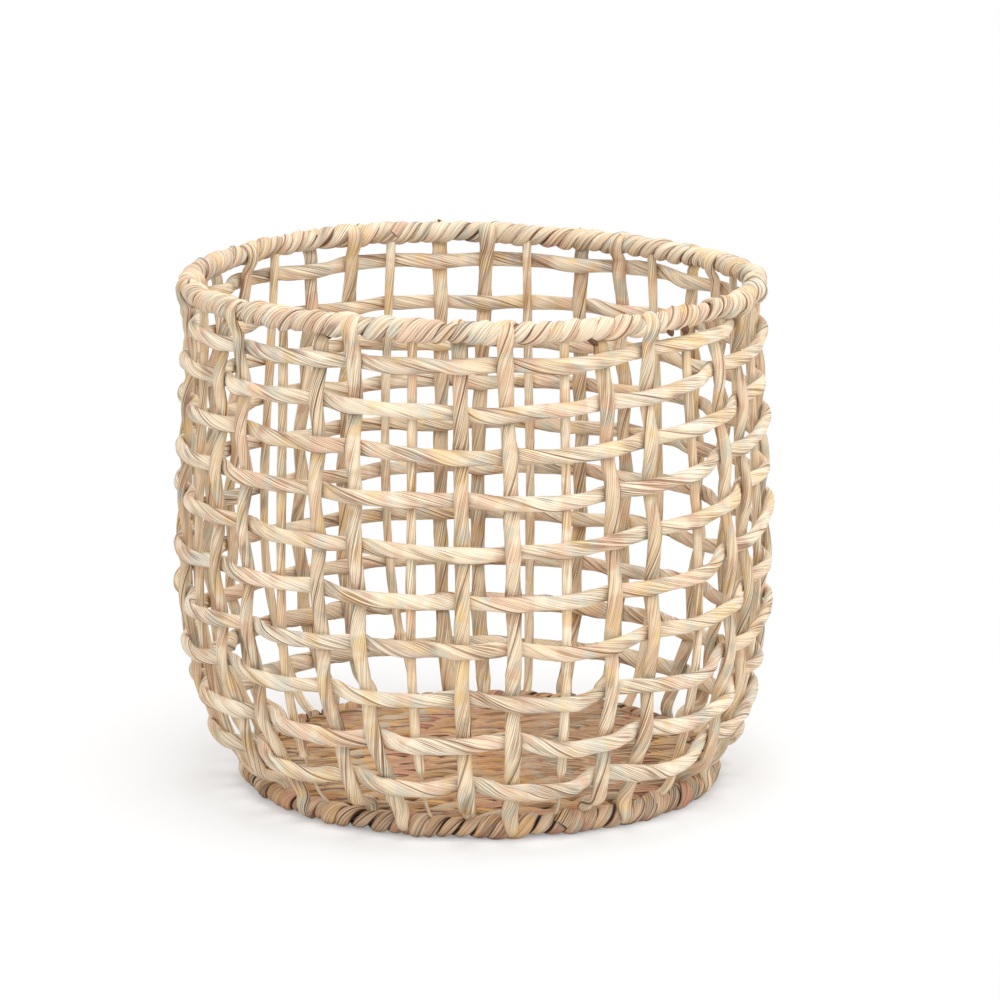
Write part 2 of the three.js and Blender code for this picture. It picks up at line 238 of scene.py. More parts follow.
def blank_material(name):
    """A material without nodes, and the net that takes them."""
    material = bpy.data.materials.new(name)
    material.use_nodes = True
    material.node_tree.nodes.clear()
    return material, Net(material.node_tree)


# Grain of the rush: places per millimetre across and along a strand, and for noise its detail and seed
TONE_GRAIN = (0.02, 0.003, 0.0, 31.0)
BLUSH_GRAIN = (0.05, 0.06, 2.0, 7.7)
GREY_GRAIN = (0.06, 0.07, 2.0, 15.2)
OCHRE_GRAIN = (0.06, 0.065, 2.0, 44.6)
WORN_GRAIN = (0.09, 0.04, 1.0, 61.3)
HAIR_GRAIN = (2.6, 0.025, 0.0)
HAIR_SEED = 23.9
FIBRE_GRAIN = (0.8, 0.010, 0.0)

# Where each look of the rush begins and is full, and how much it shows
TONE_LOOK = (0.3, 0.8, 1.0)
BLUSH_LOOK = (0.5, 0.62, 0.8)
GREY_LOOK = (0.52, 0.64, 0.85)
OCHRE_LOOK = (0.53, 0.65, 0.75)
PALE_FIBRE_LOOK = (0.76, 0.9, 0.15)
DARK_FIBRE_LOOK = (0.16, 0.06, 0.08)
DARK_HAIR_LOOK = (0.45, 0.39, 0.6)
PALE_HAIR_LOOK = (0.55, 0.61, 0.6)
GAP_LOOK = (0.15, 0.05, 1.0)
WORN_LOOK = (0.46, 0.6, 0.62)
LEAF_EDGE_LOOK = (0.16, 0.04, 1.0)
LEAF_EDGE_DARKNESS = 0.9
UNWORN_GAP_SHARE = 0.16
# How far round a strand the painted shade on its inward side fades out
PAINTED_SHADE_REACH = 0.45
STAIN_TINT = linear(132, 72, 62)
STAIN_STRENGTH = 0.75

# Shares of the single fibres and of the broad tone in how pale the rush is
FIBRE_SHARE = 0.14
TONE_SHARE = 0.96

# Relief of the rush
FIBRE_RELIEF = 0.14
HAIR_RELIEF = 0.4
GAP_RELIEF = 0.8
LEAF_EDGE_RELIEF = 0.6
RELIEF_STRENGTH = 0.9
RELIEF_HEIGHT = 0.0005
LEAST_ROUGHNESS = 0.66
FIBRE_ROUGHNESS = 0.15
RUSH_SHINE = 0.25


def rush(name, pale, tan, blush, grey, ochre, deep, lines=0.8, painted_shade_amount=0.0, painted_shade_start=0.22):
    """Dried rush: pale and tan fibres along the twist, patches of other tints, dark lines and leaf edges, and
    painted shade on the inward side of wound strands.
    """
    material, net = blank_material(name)
    fibre = net.add("ShaderNodeAttribute", {"attribute_name": "fibre"})["Vector"]
    outer = net.add("ShaderNodeAttribute", {"attribute_name": "outer_side"})["Fac"]
    stained = net.add("ShaderNodeAttribute", {"attribute_name": "stain"})["Fac"]

    # The leaf that the strand is rolled from, laid flat
    parts = net.add("ShaderNodeSeparateXYZ", None, {"Vector": fibre})
    turn = net.math("ARCTAN2", parts["Y"], parts["X"])
    girth = net.math("SQRT", parts["X"] * parts["X"] + parts["Y"] * parts["Y"])
    leaf = net.add("ShaderNodeCombineXYZ", None, {"X": turn * girth, "Y": parts["Z"]})[0]

    def grain(across, along, detail, seed):
        return net.noise(net.vector("MULTIPLY", fibre, (across, across, along)), 1.0, detail, seed)

    def cells(feature):
        place = net.vector("MULTIPLY", leaf, FIBRE_GRAIN)
        return net.add(
            "ShaderNodeTexVoronoi",
            {"feature": feature, "voronoi_dimensions": "2D"},
            {"Vector": place, "Scale": 1.0},
        )

    def amount(value, look):
        begin, full, strength = look
        return net.smooth(value, begin, full) * strength

    hair = net.noise(net.vector("MULTIPLY", leaf, HAIR_GRAIN), 1.0, 0.0, HAIR_SEED)
    fibres = net.add("ShaderNodeSeparateColor", None, {0: cells("F1")["Color"]})["Red"]
    worn = UNWORN_GAP_SHARE + amount(grain(*WORN_GRAIN), WORN_LOOK)
    gap = amount(cells("DISTANCE_TO_EDGE")["Distance"], GAP_LOOK) * worn
    edge = amount(net.math("ABSOLUTE", turn), LEAF_EDGE_LOOK)
    colour = net.mix(amount(fibres * FIBRE_SHARE + grain(*TONE_GRAIN) * TONE_SHARE, TONE_LOOK), tan, pale)
    colour = net.mix(amount(grain(*BLUSH_GRAIN), BLUSH_LOOK), colour, blush)
    colour = net.mix(amount(grain(*GREY_GRAIN), GREY_LOOK), colour, grey)
    colour = net.mix(amount(grain(*OCHRE_GRAIN), OCHRE_LOOK), colour, ochre)
    colour = net.mix(amount(fibres, PALE_FIBRE_LOOK), colour, pale)
    colour = net.mix(amount(fibres, DARK_FIBRE_LOOK), colour, deep)
    colour = net.mix(amount(hair, DARK_HAIR_LOOK) * lines, colour, deep)
    colour = net.mix(amount(hair, PALE_HAIR_LOOK) * lines, colour, pale)
    colour = net.mix(gap * lines, colour, deep)
    colour = net.mix(edge * lines * LEAF_EDGE_DARKNESS, colour, deep)
    colour = net.mix(stained * STAIN_STRENGTH, colour, STAIN_TINT)
    # Painted shade: where a strand faces inward, towards the hoop and its neighbours, its colour is darkened
    # towards the deep tint
    if painted_shade_amount:
        painted_shade = net.smooth(outer, painted_shade_start, painted_shade_start - PAINTED_SHADE_REACH)
        colour = net.mix(painted_shade * painted_shade_amount, colour, deep)
    height = fibres * FIBRE_RELIEF + hair * HAIR_RELIEF - gap * GAP_RELIEF - edge * LEAF_EDGE_RELIEF
    bump = net.add(
        "ShaderNodeBump", None, {"Strength": RELIEF_STRENGTH, "Distance": RELIEF_HEIGHT, "Height": height}
    )
    shader = net.add(
        "ShaderNodeBsdfPrincipled",
        None,
        {
            "Base Color": colour,
            "Roughness": LEAST_ROUGHNESS + fibres * FIBRE_ROUGHNESS,
            "Specular IOR Level": RUSH_SHINE,
            "Normal": bump["Normal"],
        },
    )
    net.add("ShaderNodeOutputMaterial", None, {"Surface": shader["BSDF"]})
    return material


# Spots on the wire
SPOT_SCALE = 220.0
SPOT_DETAIL = 3.0
SPOT_RANGE = (0.5, 0.62)
WIRE_METAL = 0.8
WIRE_ROUGHNESS = 0.4
SPOT_ROUGHNESS = 0.25


def wire_finish():
    """Dull drawn wire, spotted where the paint has worn."""
    material, net = blank_material("drawn_wire")
    place = net.add("ShaderNodeTexCoord")["Object"]
    spots = net.smooth(net.noise(place, SPOT_SCALE, SPOT_DETAIL, 0.0), *SPOT_RANGE)
    colour = net.mix(spots, linear(122, 112, 100), linear(92, 80, 68))
    shader = net.add(
        "ShaderNodeBsdfPrincipled",
        None,
        {"Base Color": colour, "Metallic": WIRE_METAL, "Roughness": WIRE_ROUGHNESS + spots * SPOT_ROUGHNESS},
    )
    net.add("ShaderNodeOutputMaterial", None, {"Surface": shader["BSDF"]})
    return material


FINISHES = {
    "stake_rush": rush(
        "stake_rush",
        pale=linear(236, 219, 192),
        tan=linear(216, 191, 154),
        blush=linear(212, 173, 141),
        grey=linear(192, 190, 170),
        ochre=linear(222, 187, 128),
        deep=linear(110, 68, 40),
    ),
    "weaver_rush": rush(
        "weaver_rush",
        pale=linear(242, 229, 207),
        tan=linear(229, 207, 173),
        blush=linear(225, 186, 157),
        grey=linear(209, 208, 192),
        ochre=linear(233, 204, 148),
        deep=linear(122, 78, 46),
    ),
    "upright_rush": rush(
        "upright_rush",
        pale=linear(243, 229, 204),
        tan=linear(221, 198, 162),
        blush=linear(222, 182, 146),
        grey=linear(206, 200, 174),
        ochre=linear(226, 196, 142),
        deep=linear(146, 102, 64),
        lines=0.7,
    ),
    "rim_rush": rush(
        "rim_rush",
        pale=linear(234, 218, 194),
        tan=linear(210, 186, 154),
        blush=linear(220, 181, 152),
        grey=linear(204, 202, 184),
        ochre=linear(226, 192, 140),
        deep=linear(98, 58, 36),
        # painted shade between the wound turns of the binding
        painted_shade_amount=0.85,
        painted_shade_start=0.42,
    ),
    "foot_rush": rush(
        "foot_rush",
        pale=linear(209, 182, 151),
        tan=linear(181, 148, 118),
        blush=linear(184, 126, 102),
        grey=linear(172, 164, 146),
        ochre=linear(202, 160, 106),
        deep=linear(58, 32, 22),
        # painted shade between the wound lobes of the border
        painted_shade_amount=0.95,
        painted_shade_start=0.55,
    ),
    "base_rush": rush(
        "base_rush",
        pale=linear(208, 179, 141),
        tan=linear(186, 150, 112),
        blush=linear(186, 130, 110),
        grey=linear(180, 178, 160),
        ochre=linear(216, 164, 98),
        deep=linear(88, 48, 34),
        lines=0.9,
        # painted shade between the twined rows of the base
        painted_shade_amount=0.6,
    ),
    "frame_wire": wire_finish(),
}


# Places in the basket's round frame
def spot(angle, radius, height):
    turn = np.radians(angle)
    return np.stack([radius * np.sin(turn), -radius * np.cos(turn), height + 0 * turn], axis=-1)


def sideways(angle):
    return spot(np.asarray(angle, float) + 90, 1.0, 0.0)


def angle_of(points):
    return np.degrees(np.arctan2(points[:, 0], -points[:, 1]))


def wall_radius(height):
    height = np.asarray(height, float)
    left = np.clip(1 - height / BELLY_HEIGHT, 0, 1)
    share = np.clip((height - BELLY_HEIGHT) / (RIM_HEIGHT - BELLY_HEIGHT), 0, 1)
    low = BELLY_RADIUS - (BELLY_RADIUS - FOOT_RADIUS) * left**FLARE_POWER
    high = MOUTH_RADIUS + (BELLY_RADIUS - MOUTH_RADIUS) * (0.5 + 0.5 * np.cos(np.pi * share))
    return np.where(height < BELLY_HEIGHT, low, high)


def wall_slope(height):
    height = np.asarray(height, float)
    return (wall_radius(height + 1) - wall_radius(height - 1)) / 2


def wall_spot(angle, height, offset):
    slope = wall_slope(height)
    reach = offset / np.hypot(1, slope)
    return spot(angle, wall_radius(height) + reach, height - slope * reach)


def hoop_spot(angle, hoop_radius, hoop_height, turn, distance):
    turn = np.radians(turn)
    return spot(angle, hoop_radius + distance * np.cos(turn), hoop_height + distance * np.sin(turn))


def level(height):
    """The height of a hoop that is level all round."""
    return lambda angle: height + 0 * angle


def hand_waves(counts, sizes):
    """Waves of hand work: these counts of them round the basket, each of a random size and phase."""
    return [(cycles, rng.uniform(*sizes), rng.uniform(0, 360)) for cycles in counts]


def wavy(waves, angle):
    return sum(size * np.sin(np.radians(cycles * angle + phase)) for cycles, size, phase in waves)


def eased(share):
    return share * share * (3 - 2 * share)


# How each upright and stake was set by hand: degrees aside at its head, middle and foot
HAND_SET = {
    ("upright", 0): (0.0, -0.6, -1.2),
    ("upright", 1): (-1.5, 0.8, 0.0),
    ("upright", 6): (0.0, 0.4, -2.4),
    ("upright", 10): (1.3, 0.9, 1.1),
    ("upright", 11): (0.1, -0.8, -1.5),
    ("first", 0): (-1.8, -1.1, -3.2),
    ("first", 1): (-2.2, 1.2, 1.0),
    ("first", 9): (3.2, 1.4, 3.2),
    ("first", 10): (1.2, 0.0, 1.9),
    ("first", 11): (-0.2, -1.1, -3.2),
    ("second", 0): (-1.1, -1.4, -2.9),
    ("second", 1): (0.0, -0.6, 0.3),
    ("second", 9): (0.4, 2.0, 3.0),
    ("second", 10): (-0.2, -1.1, 1.4),
    ("second", 11): (-1.0, -0.7, -2.7),
}
LOOSE_ANGLE = 0.9
START_ANGLE = {"upright": 0.0, "first": FIRST_STAKE_ANGLE, "second": SECOND_STAKE_ANGLE}
LEAN_SHARE = {"upright": UPRIGHT_LEAN_SHARE, "first": 1.0, "second": 1.0}
for bay in range(BAY_COUNT):
    for kind in START_ANGLE:
        loose = tuple(rng.uniform(-LOOSE_ANGLE, LOOSE_ANGLE, 3))
        HAND_SET.setdefault((kind, bay), loose)


def vertical_angle(kind, bay, height):
    """The angle at which an upright or a stake stands at this height."""
    start = FIRST_UPRIGHT_ANGLE + bay * BAY_ANGLE + START_ANGLE[kind]
    amount = 0.5 - 0.5 * math.sin(math.radians(start - LEAN_TURN_ANGLE))
    share = np.clip(np.asarray(height, float) / RIM_HEIGHT, 0, 1)
    head, middle, foot = HAND_SET[kind, bay]
    aside = foot * (1 - share) * (1 - 2 * share) + middle * 4 * share * (1 - share)
    aside = aside + head * share * (2 * share - 1)
    return start + LEAN_SHARE[kind] * STAKE_LEAN_ANGLE * amount * (1 - share) + aside


# The rim's waves: how many go round, their size and phase
RIM_WAVES = [(1, 1.5, 128), (2, 0.8, 65), (3, 1.2, 210)]
RIM_LIFT = 1.4


def rim_height(angle):
    """The height of the rim's middle, which dips at the back right."""
    return RIM_HEIGHT + RIM_LIFT + wavy(RIM_WAVES, np.asarray(angle, float))


# How each row was laid by hand, from the lowest: millimetres above its place at these angles
ROW_SET_ANGLES = (-110, -75, -55, -35, -15, 3, 18, 32, 47, 60, STEP_UP_ANGLE)
ROW_SET = (
    (0.0, 0.0, 0.5, -1.5, -2.4, -3.8, -6.0, -2.8, -7.0, -5.0, 0.0),
    (0.0, 0.0, 2.0, 0.2, -1.0, -0.5, -6.2, -5.0, -7.2, -5.0, 0.0),
    (0.0, -1.9, 2.4, 0.7, -0.6, -0.6, -5.5, -2.0, -6.8, -3.2, 0.0),
    (0.0, -3.6, 0.3, 0.4, 1.2, -0.8, -4.3, -2.0, -3.5, -3.6, 0.0),
    (0.0, -2.3, 0.5, 0.6, -0.6, -3.0, -4.3, -3.2, -5.0, -1.7, 0.0),
    (0.0, -0.5, 1.2, -0.4, -1.4, -3.4, -2.7, -0.9, -1.0, -0.2, 0.0),
    (0.0, 0.0, 1.8, 2.0, 1.2, -1.2, -2.3, -0.6, -0.6, 0.6, 0.0),
    (0.0, 1.0, 3.2, 3.4, 1.1, -1.1, -1.3, -0.9, 0.6, 0.4, 0.0),
    (0.0, 2.0, 2.3, 2.4, 0.8, -1.2, -0.9, -0.6, 1.0, 1.7, 0.0),
    (0.0, -2.6, -2.0, -1.2, -0.7, -0.4, -1.4, 1.2, 2.2, 2.4, 0.0),
)
ROW_WAVE_COUNTS = (2, 5, 8)
ROW_WAVE_SIZES = (0.1, 0.4)
ROW_WAVES = [hand_waves(ROW_WAVE_COUNTS, ROW_WAVE_SIZES) for _ in range(ROW_COUNT)]
WAVE_FADE_ANGLE = 40
MEETING_TRIES = 4


def row_level(rows):
    """The height on the spiral of weavers after this many rows."""
    return LOWEST_ROW_HEIGHT + rows * ROW_SPACING - ROW_UNEVENNESS * np.sin(2 * np.pi * rows / ROWS_IN_WAVE)


def spiral_height(run):
    """The height of the weavers' spiral after this many degrees from its start."""
    run = np.asarray(run, float)
    row = np.clip(np.floor(run / 360), 0, ROW_COUNT - 1).astype(int)
    past = run - 360 * row
    start = np.where(row == 0, END_STEP_SHARE, 0.5)
    end = np.where(row == ROW_COUNT - 1, END_STEP_SHARE, 0.5)
    low = start * (1 - np.tanh(past / STEP_UP_REACH_ANGLE))
    high = end * (1 - np.tanh((360 - past) / STEP_UP_REACH_ANGLE))
    height = row_level(row + high - low)
    angle = past + STEP_UP_ANGLE - 360
    fade = np.clip(past / WAVE_FADE_ANGLE, 0, 1) * np.clip((360 - past) / WAVE_FADE_ANGLE, 0, 1)
    aside = np.zeros_like(height)
    waves = np.zeros_like(height)
    for k in np.unique(row):
        here = row == k
        aside[here] = swing(angle[here], ROW_SET_ANGLES, ROW_SET[k])
        waves[here] = wavy(ROW_WAVES[k], angle[here])
    return height + aside + waves * fade


def run_of(row, angle):
    """How many degrees from the start of the spiral this row passes this angle."""
    return 360 * row + (angle - STEP_UP_ANGLE) % 360


def meeting(kind, bay, row):
    """The angle and height at which an upright or a stake meets a row."""
    height = LOWEST_ROW_HEIGHT + row * ROW_SPACING
    for _ in range(MEETING_TRIES):
        angle = np.array([vertical_angle(kind, bay, height)])
        height = float(spiral_height(run_of(row, angle))[0])
    return float(vertical_angle(kind, bay, height)), height


def stake_side(kind, row):
    """The first stake of a bay is outside the even rows, the second outside the odd ones."""
    return 1 if (row % 2 == 0) == (kind == "first") else -1


def swing(values, knots, sides):
    """A smooth swing from each knot's side to the next one's."""
    knots = np.asarray(knots, float)
    sides = np.asarray(sides, float)
    place = np.clip(np.searchsorted(knots, values, side="right") - 1, 0, len(knots) - 2)
    share = np.clip((values - knots[place]) / (knots[place + 1] - knots[place]), 0, 1)
    return sides[place] + (sides[place + 1] - sides[place]) * eased(share)


def nearness(values, knots, reach):
    """1 at each knot, falling to 0 a few reaches away."""
    gaps = np.abs(np.asarray(values)[:, None] - np.asarray(knots)[None, :]).min(axis=1)
    return np.exp(-((gaps / reach) ** 2))


def smooth_line(points, step):
    """Points a step apart on a smooth line through the given points."""
    points = np.asarray(points, float)
    lengths = np.concatenate([[0], np.cumsum(np.linalg.norm(np.diff(points, axis=0), axis=1))])
    slopes = np.gradient(points, lengths, axis=0)
    along = np.linspace(0, lengths[-1], int(math.ceil(lengths[-1] / step)) + 1)
    k = np.clip(np.searchsorted(lengths, along, side="right") - 1, 0, len(lengths) - 2)
    gap = (lengths[k + 1] - lengths[k])[:, None]
    u = (along - lengths[k])[:, None] / gap
    return (
        (1 + 2 * u) * (1 - u) ** 2 * points[k]
        + u * (1 - u) ** 2 * gap * slopes[k]
        + u * u * (3 - 2 * u) * points[k + 1]
        + u * u * (u - 1) * gap * slopes[k + 1]
    )


def tapered(count, start, end, start_share, end_share):
    """How full a strand is at each point, thinning over this many points at its start and its end."""
    place = np.arange(count)
    rise = np.clip(place / max(start, 1), 0, 1)
    fall = np.clip((count - 1 - place) / max(end, 1), 0, 1)
    rise = start_share + (1 - start_share) * np.sin(rise * np.pi / 2)
    fall = end_share + (1 - end_share) * np.sin(fall * np.pi / 2)
    return np.minimum(rise, fall)


class Run:
    """A strand's line of points, with the direction of its width, its fullness, where others press on it and
    where it is stained."""

    def __init__(self, points, across, fullness=None, press=None, stain=None):
        count = len(points)
        self.points = np.asarray(points, float)
        self.across = np.asarray(across, float)
        self.fullness = np.ones(count) if fullness is None else fullness
        self.press = np.zeros(count) if press is None else press
        self.stain = np.zeros(count) if stain is None else stain


# Strand tree: how a strand's twist slackens, where its second seam is, and how it gives where others press
FULL_TURN = 2 * math.pi
SLACK_SCALE = 14.0
SLACK_DETAIL = 1.0
SLACK_TURN = 1.6
LUMP_DETAIL = 2.0
LUMP_SEED = 3.3
SEAM_PLACE = 0.53
SEAM_REACH = 0.10
PRESSED_WIDER = 0.06
PRESSED_THINNER = 0.12
LOWEST_POINT = 0.0001
FIBRE_SEED_STEP = 137


def twisted_rush_tree():
    """Turns lines of points into strands rolled from a leaf, whose edge shows as a seam along the twist."""
    tree = bpy.data.node_groups.new("twisted_rush", "GeometryNodeTree")
    for name, kind in (
        ("Path", "NodeSocketGeometry"),
        ("Width", "NodeSocketFloat"),
        ("Thickness", "NodeSocketFloat"),
        ("Sides", "NodeSocketInt"),
        ("Twist Length", "NodeSocketFloat"),
        ("Lay Start", "NodeSocketFloat"),
        ("Leaf Edge", "NodeSocketFloat"),
        ("Second Seam", "NodeSocketFloat"),
        ("Oval", "NodeSocketFloat"),
        ("Lumps", "NodeSocketFloat"),
        ("Lump Length", "NodeSocketFloat"),
        ("Seed", "NodeSocketFloat"),
        ("Finish", "NodeSocketMaterial"),
    ):
        tree.interface.new_socket(name, in_out="INPUT", socket_type=kind)
    tree.interface.new_socket("Strands", in_out="OUTPUT", socket_type="NodeSocketGeometry")
    net = Net(tree)
    given = net.add("NodeGroupInput")
    curve = net.add("GeometryNodeMeshToCurve", None, {"Mesh": given["Path"]})["Curve"]
    line = net.add(
        "GeometryNodeCaptureAttribute",
        {"captures": [("Centre", "VECTOR"), ("Tangent", "VECTOR"), ("Along", "FLOAT")]},
        {
            "Geometry": curve,
            "Centre": net.add("GeometryNodeInputPosition")[0],
            "Tangent": net.add("GeometryNodeInputTangent")[0],
            "Along": net.add("GeometryNodeSplineParameter")["Length"],
        },
    )
    circle = net.add("GeometryNodeCurvePrimitiveCircle", {"mode": "RADIUS"}, {"Resolution": given["Sides"]})
    ring = net.add(
        "GeometryNodeCaptureAttribute",
        {"captures": [("Around", "FLOAT")]},
        {"Geometry": circle["Curve"], "Around": net.add("GeometryNodeSplineParameter")["Factor"]},
    )
    tube = net.add(
        "GeometryNodeCurveToMesh",
        None,
        {"Curve": line["Geometry"], "Profile Curve": ring["Geometry"], "Fill Caps": True},
    )["Mesh"]

    def stored(name, kind):
        return net.add("GeometryNodeInputNamedAttribute", {"data_type": kind}, {"Name": name})["Attribute"]

    # The strand's section
    centre, tangent, along, around = line["Centre"], line["Tangent"], line["Along"], ring["Around"]
    outward = net.vector("NORMALIZE", net.vector("CROSS_PRODUCT", tangent, stored("across", "FLOAT_VECTOR")))
    across = net.vector("CROSS_PRODUCT", outward, tangent)
    turn = around * FULL_TURN
    slack = net.noise(centre, SLACK_SCALE, SLACK_DETAIL, given["Seed"]) - 0.5
    angle = turn + along * FULL_TURN / given["Twist Length"] + given["Lay Start"] + slack * SLACK_TURN
    lumps = net.noise(centre, 1 / given["Lump Length"], LUMP_DETAIL, given["Seed"] + LUMP_SEED) - 0.5
    second = net.smooth(net.math("ABSOLUTE", around - SEAM_PLACE), SEAM_REACH, 0.0)
    fullness = stored("fullness", "FLOAT")
    press = stored("press", "FLOAT")
    size = 1 + given["Leaf Edge"] * (0.5 - around) + given["Oval"] * net.math("COSINE", 2 * turn)
    size = (size - given["Second Seam"] * second + given["Lumps"] * lumps) * fullness
    wide = net.math("COSINE", angle) * size * given["Width"] * 0.5 * (1 + press * PRESSED_WIDER)
    outer = net.math("SINE", angle)
    thick = outer * size * given["Thickness"] * 0.5 * (1 - press * PRESSED_THINNER)
    place = centre + across * wide + outward * thick
    parts = net.add("ShaderNodeSeparateXYZ", None, {"Vector": place})
    raised = net.math("MAXIMUM", parts["Z"], LOWEST_POINT)
    place = net.add("ShaderNodeCombineXYZ", None, {"X": parts["X"], "Y": parts["Y"], "Z": raised})[0]
    shaped = net.add("GeometryNodeSetPosition", None, {"Geometry": tube, "Position": place})["Geometry"]

    # What the finishes read: the place in the leaf, in millimetres, and how far out on the strand
    girth = given["Width"] * 0.5 / MM
    fibre = net.add(
        "ShaderNodeCombineXYZ",
        None,
        {
            "X": net.math("COSINE", turn) * girth,
            "Y": net.math("SINE", turn) * girth,
            "Z": along / MM + given["Seed"] * FIBRE_SEED_STEP,
        },
    )[0]
    for name, kind, value in (
        ("fibre", "FLOAT_VECTOR", fibre),
        ("outer_side", "FLOAT", outer),
    ):
        shaped = net.add(
            "GeometryNodeStoreNamedAttribute",
            {"data_type": kind, "domain": "POINT"},
            {"Geometry": shaped, "Name": name, "Value": value},
        )["Geometry"]
    shaded = net.add("GeometryNodeSetShadeSmooth", None, {"Geometry": shaped})["Geometry"]
    whole = net.add("GeometryNodeRealizeInstances", None, {"Geometry": shaded})["Geometry"]
    dressed = net.add("GeometryNodeSetMaterial", None, {"Geometry": whole, "Material": given["Finish"]})
    net.add("NodeGroupOutput", None, {"Strands": dressed["Geometry"]})
    return tree


STRAND_TREE = twisted_rush_tree()
SOCKETS = {item.name: item.identifier for item in STRAND_TREE.interface.items_tree}
SEED_RANGE = 60
waiting = []


def settled(points):
    """Where points of a true basket lie in this one."""
    height = points[:, 2:3]
    low = np.clip(1 - height / BELLY_HEIGHT, 0, 1) ** FOOT_ASIDE_POWER
    risen = eased(np.clip((height - LIFT_START) / LIFT_REACH, 0, 1))
    return points + low * FOOT_ASIDE + risen * np.array([0.0, 0.0, WALL_LIFT])


def line_mesh(name, runs):
    """A mesh of open lines that carries what the strand tree reads."""
    mesh = bpy.data.meshes.new(name)
    points = settled(np.concatenate([run.points for run in runs])) * MM
    edges = []
    start = 0
    for run in runs:
        edges += [(start + i, start + i + 1) for i in range(len(run.points) - 1)]
        start += len(run.points)
    mesh.from_pydata(points.tolist(), edges, [])
    across = np.concatenate([run.across for run in runs])
    attribute = mesh.attributes.new("across", "FLOAT_VECTOR", "POINT")
    attribute.data.foreach_set("vector", across.astype(np.float32).ravel())
    for key in ("fullness", "press", "stain"):
        values = np.concatenate([getattr(run, key) for run in runs])
        attribute = mesh.attributes.new(key, "FLOAT", "POINT")
        attribute.data.foreach_set("value", values.astype(np.float32))
    return mesh


def lay_strand(
    name, node, slot, runs, width, thickness, twist, sides=20, edge=0.14, seam=0.06, oval=0.05, lumps=0.26,
    lump_length=22.0,
):
    """A strand along these runs, in the place of a node of the part."""
    strand = bpy.data.objects.new(name, line_mesh(name, runs))
    bpy.context.scene.collection.objects.link(strand)
    modifier = strand.modifiers.new("twisted_rush", "NODES")
    modifier.node_group = STRAND_TREE
    for key, value in (
        ("Width", width * MM),
        ("Thickness", thickness * MM),
        ("Sides", sides),
        ("Twist Length", twist * MM),
        ("Lay Start", float(rng.uniform(0, FULL_TURN))),
        ("Leaf Edge", edge),
        ("Second Seam", seam),
        ("Oval", oval),
        ("Lumps", lumps),
        ("Lump Length", lump_length * MM),
        ("Seed", float(rng.uniform(0, SEED_RANGE))),
        ("Finish", FINISHES[slot]),
    ):
        modifier[SOCKETS[key]] = value
    waiting.append((strand, node, slot))


def finish_strands():
    """Makes plain meshes of all the strands, and has them ride on the part."""
    bpy.context.view_layer.update()
    graph = bpy.context.evaluated_depsgraph_get()
    for strand, node, slot in waiting:
        mesh = bpy.data.meshes.new_from_object(
            strand.evaluated_get(graph), preserve_all_data_layers=True, depsgraph=graph
        )
        strand.modifiers.clear()
        strand.data = mesh
        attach(strand, "root")
        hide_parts(node)


# Weavers
WEAVER_STEP_ANGLE = 0.9
WEAVER_TAPER_POINTS = 16
WEAVER_START_SHARE = 0.3
WEAVER_END_SHARE = 0.25
WEAVER_PRESS_ANGLE = 2.0
WEAVER_TWIST = (66, 96)
JOINT_LAP_ANGLE = 0.8
SPLICE_OVERLAP = 17
SPLICE_RISE = 2.3
SPLICE_THINNING = 0.22
SPLICE_ANGLES = (3, 2, 2, -21, 231, 142, 262, 190, -1, -22)
STAINED_ROWS = (2, 3, 8, 9)
HEAD_STAIN = 0.4
FULL_ROWS = 2
FULL_ROW_SIZE = 1.18


def crossings(rows):
    """Where the spiral passes the uprights and stakes in these rows, and on which side of the wall."""
    places = []
    for row in rows:
        for bay in range(BAY_COUNT):
            for kind in START_ANGLE:
                side = 1 if kind == "upright" else -stake_side(kind, row)
                places.append((run_of(row, meeting(kind, bay, row)[0]), side))
    return np.array(sorted(places)).T


def joint(row):
    """Where a row's strand ends: under the last stake that passes outside it."""
    kind = "first" if row % 2 == 0 else "second"
    return run_of(row, meeting(kind, STEP_UP_BAY - 1, row)[0])


def weave(row):
    """A row's strand in two lengths, spliced where a new one was laid in."""
    lowest = row == 0
    highest = row == ROW_COUNT - 1
    knots, sides = crossings([k for k in (row - 1, row, row + 1) if 0 <= k < ROW_COUNT])
    first = run_of(row, STEP_UP_ANGLE) if lowest else joint(row - 1) - JOINT_LAP_ANGLE
    last = 360 * (row + 1) if highest else joint(row) + JOINT_LAP_ANGLE
    splice = run_of(row, SPLICE_ANGLES[row])
    runs = []
    for begin, finish in ((first, splice + SPLICE_OVERLAP), (splice, last)):
        way = np.linspace(begin, finish, int((finish - begin) / WEAVER_STEP_ANGLE))
        head = np.clip(1 - (way - begin) / SPLICE_OVERLAP, 0, 1) * (begin == splice)
        tail = np.clip(1 - (finish - way) / SPLICE_OVERLAP, 0, 1) * (begin == first)
        heights = spiral_height(way) + SPLICE_RISE * (np.sqrt(head) - np.sqrt(tail))
        angles = way + STEP_UP_ANGLE
        points = wall_spot(angles, heights, WEAVER_OFFSET * swing(way, knots, sides))
        across = spot(angles, wall_slope(heights), 1.0)
        start_taper = WEAVER_TAPER_POINTS if begin == splice or lowest else 1
        end_taper = WEAVER_TAPER_POINTS if begin == first or highest else 1
        fullness = tapered(len(way), start_taper, end_taper, WEAVER_START_SHARE, WEAVER_END_SHARE)
        fullness = fullness * (1 - SPLICE_THINNING * np.maximum(head, tail) ** 0.5)
        fullness = fullness * (FULL_ROW_SIZE if row < FULL_ROWS else 1.0)
        stain = np.maximum(HEAD_STAIN * head**2, tail**2) * (row in STAINED_ROWS)
        runs.append(Run(points, across, fullness, nearness(way, knots, WEAVER_PRESS_ANGLE), stain))
    return runs


